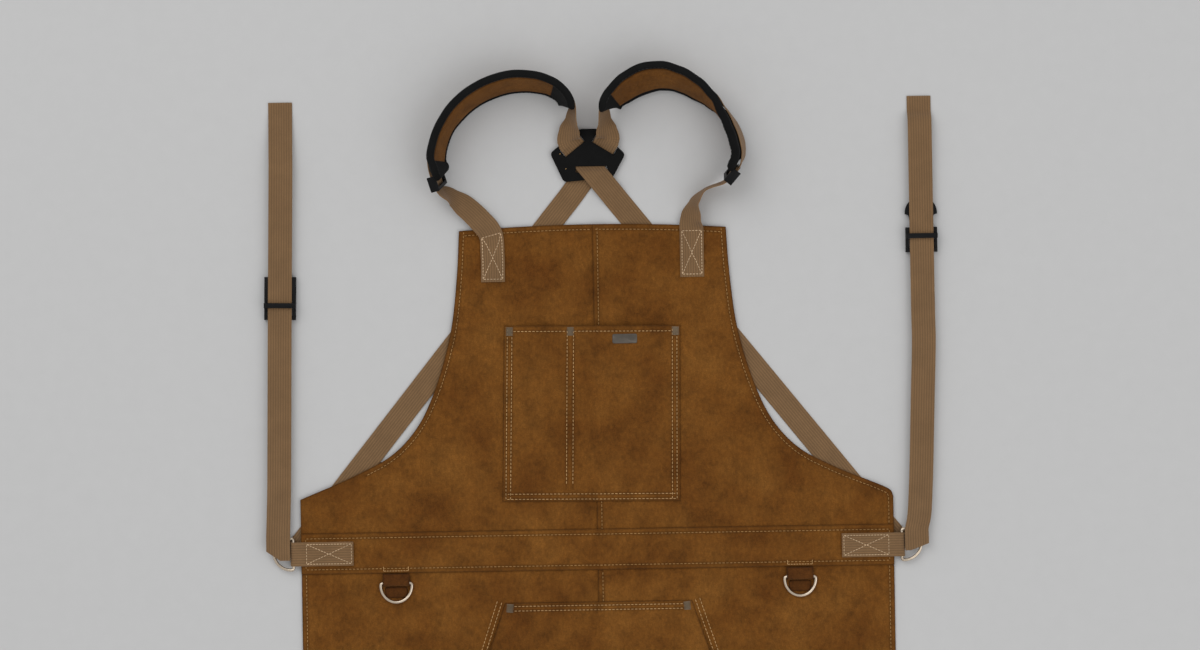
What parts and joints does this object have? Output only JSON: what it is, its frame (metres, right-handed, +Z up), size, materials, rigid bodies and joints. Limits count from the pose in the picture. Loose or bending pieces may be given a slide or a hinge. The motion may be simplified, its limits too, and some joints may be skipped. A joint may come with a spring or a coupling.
{
  "type": "cross-back work apron",
  "caption": "Suede leather cross-back work apron laid flat: bib, skirt, pockets, padded shoulder straps, D-rings and side-release waist straps.",
  "frame": {"origin": "middle of the foot of the whole apron's box, on the surface it lies on", "axes": "+Y towards the top of the bib, +Z up out of the apron's front, +X to the right of someone facing the apron"},
  "size_m": [0.7082, 1.0826, 0.0518],
  "materials": {
    "suede": "brown split suede with a short uneven nap and cream stitching",
    "webbing": "tan ribbed webbing",
    "black_leather": "black smooth leather",
    "pad_foam": "dark closed-cell foam, hidden inside the pads",
    "ring_steel": "nickel-plated wire",
    "label_metal": "plain dull metal plate",
    "thread": "cream sewing thread",
    "black_plastic": "black moulded plastic"
  },
  "bodies": {
    "root": {"bib_left": "suede", "skirt_left": "suede", "bib_strap_left": "webbing", "harness_strap_left": "webbing", "slider_left": "black_plastic", "pad_back_left": "black_leather", "pad_foam_left": "pad_foam", "pad_face_left": "suede", "pad_binding_left": "black_leather", "waist_tab_left": "webbing", "tool_loop_left": "suede", "bib_right": "suede", "skirt_right": "suede", "bib_strap_right": "webbing", "harness_strap_right": "webbing", "slider_right": "black_plastic", "pad_back_right": "black_leather", "pad_foam_right": "pad_foam", "pad_face_right": "suede", "pad_binding_right": "black_leather", "waist_tab_right": "webbing", "tool_loop_right": "suede", "waistband": "suede", "chest_pocket": "suede", "lap_pocket": "suede", "pocket_label": "label_metal", "yoke": "black_leather"},
    "tool_ring_left": {"tool_ring_left": "ring_steel"},
    "waist_ring_left": {"waist_ring_left": "ring_steel"},
    "waist_strap_left": {"waist_strap_left": "webbing"},
    "tool_ring_right": {"tool_ring_right": "ring_steel"},
    "waist_ring_right": {"waist_ring_right": "ring_steel"},
    "waist_strap_right": {"waist_strap_right": "webbing"},
    "buckle_socket": {"buckle_socket": "black_plastic"},
    "buckle_plug": {"buckle_plug": "black_plastic"}
  },
  "joints": [
    {"name": "tool_ring_left_swing", "type": "hinge", "parent": "root", "child": "tool_ring_left", "pos_m": [-0.21958, -0.00032, 0.0052], "axis": [-1, 0, 0], "range_deg": [0, 150]},
    {"name": "waist_ring_left_lift", "type": "hinge", "parent": "root", "child": "waist_ring_left", "pos_m": [-0.32678, 0.03168, 0.0055], "axis": [0, 1, 0], "range_deg": [0, 75]},
    {"name": "waist_strap_left_swing", "type": "hinge", "parent": "waist_ring_left", "child": "waist_strap_left", "pos_m": [-0.33728, 0.03168, 0.0084], "axis": [0, 0, 1], "range_deg": [0, 90]},
    {"name": "tool_ring_right_swing", "type": "hinge", "parent": "root", "child": "tool_ring_right", "pos_m": [0.20402, -0.00032, 0.0052], "axis": [-1, 0, 0], "range_deg": [0, 150]},
    {"name": "waist_ring_right_lift", "type": "hinge", "parent": "root", "child": "waist_ring_right", "pos_m": [0.31122, 0.03168, 0.0055], "axis": [0, -1, 0], "range_deg": [0, 75]},
    {"name": "waist_strap_right_swing", "type": "hinge", "parent": "waist_ring_right", "child": "waist_strap_right", "pos_m": [0.32172, 0.03168, 0.0084], "axis": [0, 0, -1], "range_deg": [0, 90]},
    {"name": "buckle_socket_slide", "type": "slide", "parent": "waist_strap_left", "child": "buckle_socket", "axis": [0.0217, 0.9998, 0], "range_m": [-0.18, 0.1]},
    {"name": "buckle_plug_slide", "type": "slide", "parent": "waist_strap_right", "child": "buckle_plug", "axis": [-0.0015, 1, 0], "range_m": [-0.064, 0.066]}
  ]
}
